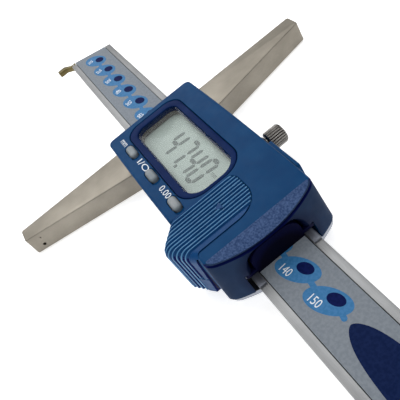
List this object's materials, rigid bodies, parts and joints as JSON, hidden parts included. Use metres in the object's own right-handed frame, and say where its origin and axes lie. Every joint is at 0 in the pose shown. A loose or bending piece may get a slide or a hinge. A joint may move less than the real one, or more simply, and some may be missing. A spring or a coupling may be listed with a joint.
{
  "type": "digital depth caliper",
  "caption": "Digital depth caliper: hook-tipped steel rule sliding through a T-shaped steel base, with a blue plastic display housing and a knurled lock screw.",
  "frame": {"origin": "middle of the flat back face of the base bar, 6 mm behind the measuring face, on the rule's centre line", "axes": "+X along the rule from its hooked tip to its free end; +Y across the rule towards the lock screw; +Z out of the display"},
  "size_m": [0.2425, 0.1, 0.0166],
  "materials": {
    "satin_steel": "satin ground stainless steel, slightly warm",
    "polished_steel": "fine ground, half bright",
    "dark_steel": "hardened, brownish",
    "nickel": "nickel plated",
    "brass": "satin",
    "blue_plastic": "fine moulded texture, satin blue",
    "navy_plastic": "smooth navy",
    "black_plastic": "matt black",
    "clear_window": "clear acrylic",
    "lcd": "grey-green reflective display with dark segments",
    "circuit_board": "green solder mask",
    "rubber": "matt",
    "button_plastic": "silver-grey moulded",
    "scale_label": "printed grey film with blue scale marks"
  },
  "bodies": {
    "slider": {"slider_frame": "satin_steel", "back_plate": "satin_steel", "frame_screw_1": "nickel", "frame_screw_2": "nickel", "frame_screw_3": "nickel", "frame_screw_4": "nickel", "housing_screw_1": "nickel", "housing_screw_2": "nickel", "housing_screw_3": "nickel", "housing_screw_4": "nickel", "gib_strip": "brass", "gib_screw_1": "dark_steel", "gib_screw_2": "dark_steel", "lock_bush": "black_plastic", "housing": "blue_plastic", "display_bezel": "navy_plastic", "display_lens": "clear_window", "lcd_panel": "lcd", "lcd_connector_1": "rubber", "lcd_connector_2": "rubber", "circuit_board": "circuit_board", "switch_units": "black_plastic", "switch_power": "black_plastic", "switch_zero": "black_plastic", "battery_cell": "nickel", "battery_contact_minus": "brass", "battery_contact_plus": "brass", "data_connector": "black_plastic", "wiper_front": "rubber", "wiper_rear": "black_plastic"},
    "rule": {"beam": "polished_steel", "scale_circuit": "circuit_board", "scale_label": "scale_label", "depth_hook": "dark_steel", "hook_pin": "nickel", "end_stop": "satin_steel", "end_stop_screw_1": "nickel", "end_stop_screw_2": "nickel"},
    "lock_feed": {"lock_shoe": "brass"},
    "lock_knob": {"lock_screw": "nickel"},
    "battery_door": {"battery_cover": "blue_plastic"},
    "port_door": {"data_port_cover": "blue_plastic"},
    "units_key": {"button_units": "button_plastic"},
    "power_key": {"button_power": "button_plastic"},
    "zero_key": {"button_zero": "button_plastic"}
  },
  "joints": [
    {"name": "rule_slide", "type": "slide", "parent": "slider", "child": "rule", "axis": [-1, 0, 0], "range_m": [-0.0615, 0.085]},
    {"name": "lock_turn", "type": "hinge", "parent": "slider", "child": "lock_knob", "pos_m": [0.0318, 0.0168, 0.0056], "axis": [0, -1, 0], "range_deg": [0, 220]},
    {"name": "lock_advance", "type": "slide", "parent": "slider", "child": "lock_feed", "axis": [0, -1, 0], "range_m": [0, 0.0003]},
    {"name": "battery_cover_slide", "type": "slide", "parent": "slider", "child": "battery_door", "axis": [0, -1, 0], "range_m": [0, 0.012]},
    {"name": "data_port_slide", "type": "slide", "parent": "slider", "child": "port_door", "axis": [-1, 0, 0], "range_m": [0, 0.008]},
    {"name": "units_press", "type": "slide", "parent": "slider", "child": "units_key", "axis": [0, 0, -1], "range_m": [0, 0.0004], "stiffness_N_per_m": 800},
    {"name": "power_press", "type": "slide", "parent": "slider", "child": "power_key", "axis": [0, 0, -1], "range_m": [0, 0.0004], "stiffness_N_per_m": 800},
    {"name": "zero_press", "type": "slide", "parent": "slider", "child": "zero_key", "axis": [0, 0, -1], "range_m": [0, 0.0004], "stiffness_N_per_m": 800}
  ],
  "couplings": [
    {"joint": "lock_turn", "follows": "lock_advance", "rad_per_m": 12799}
  ]
}
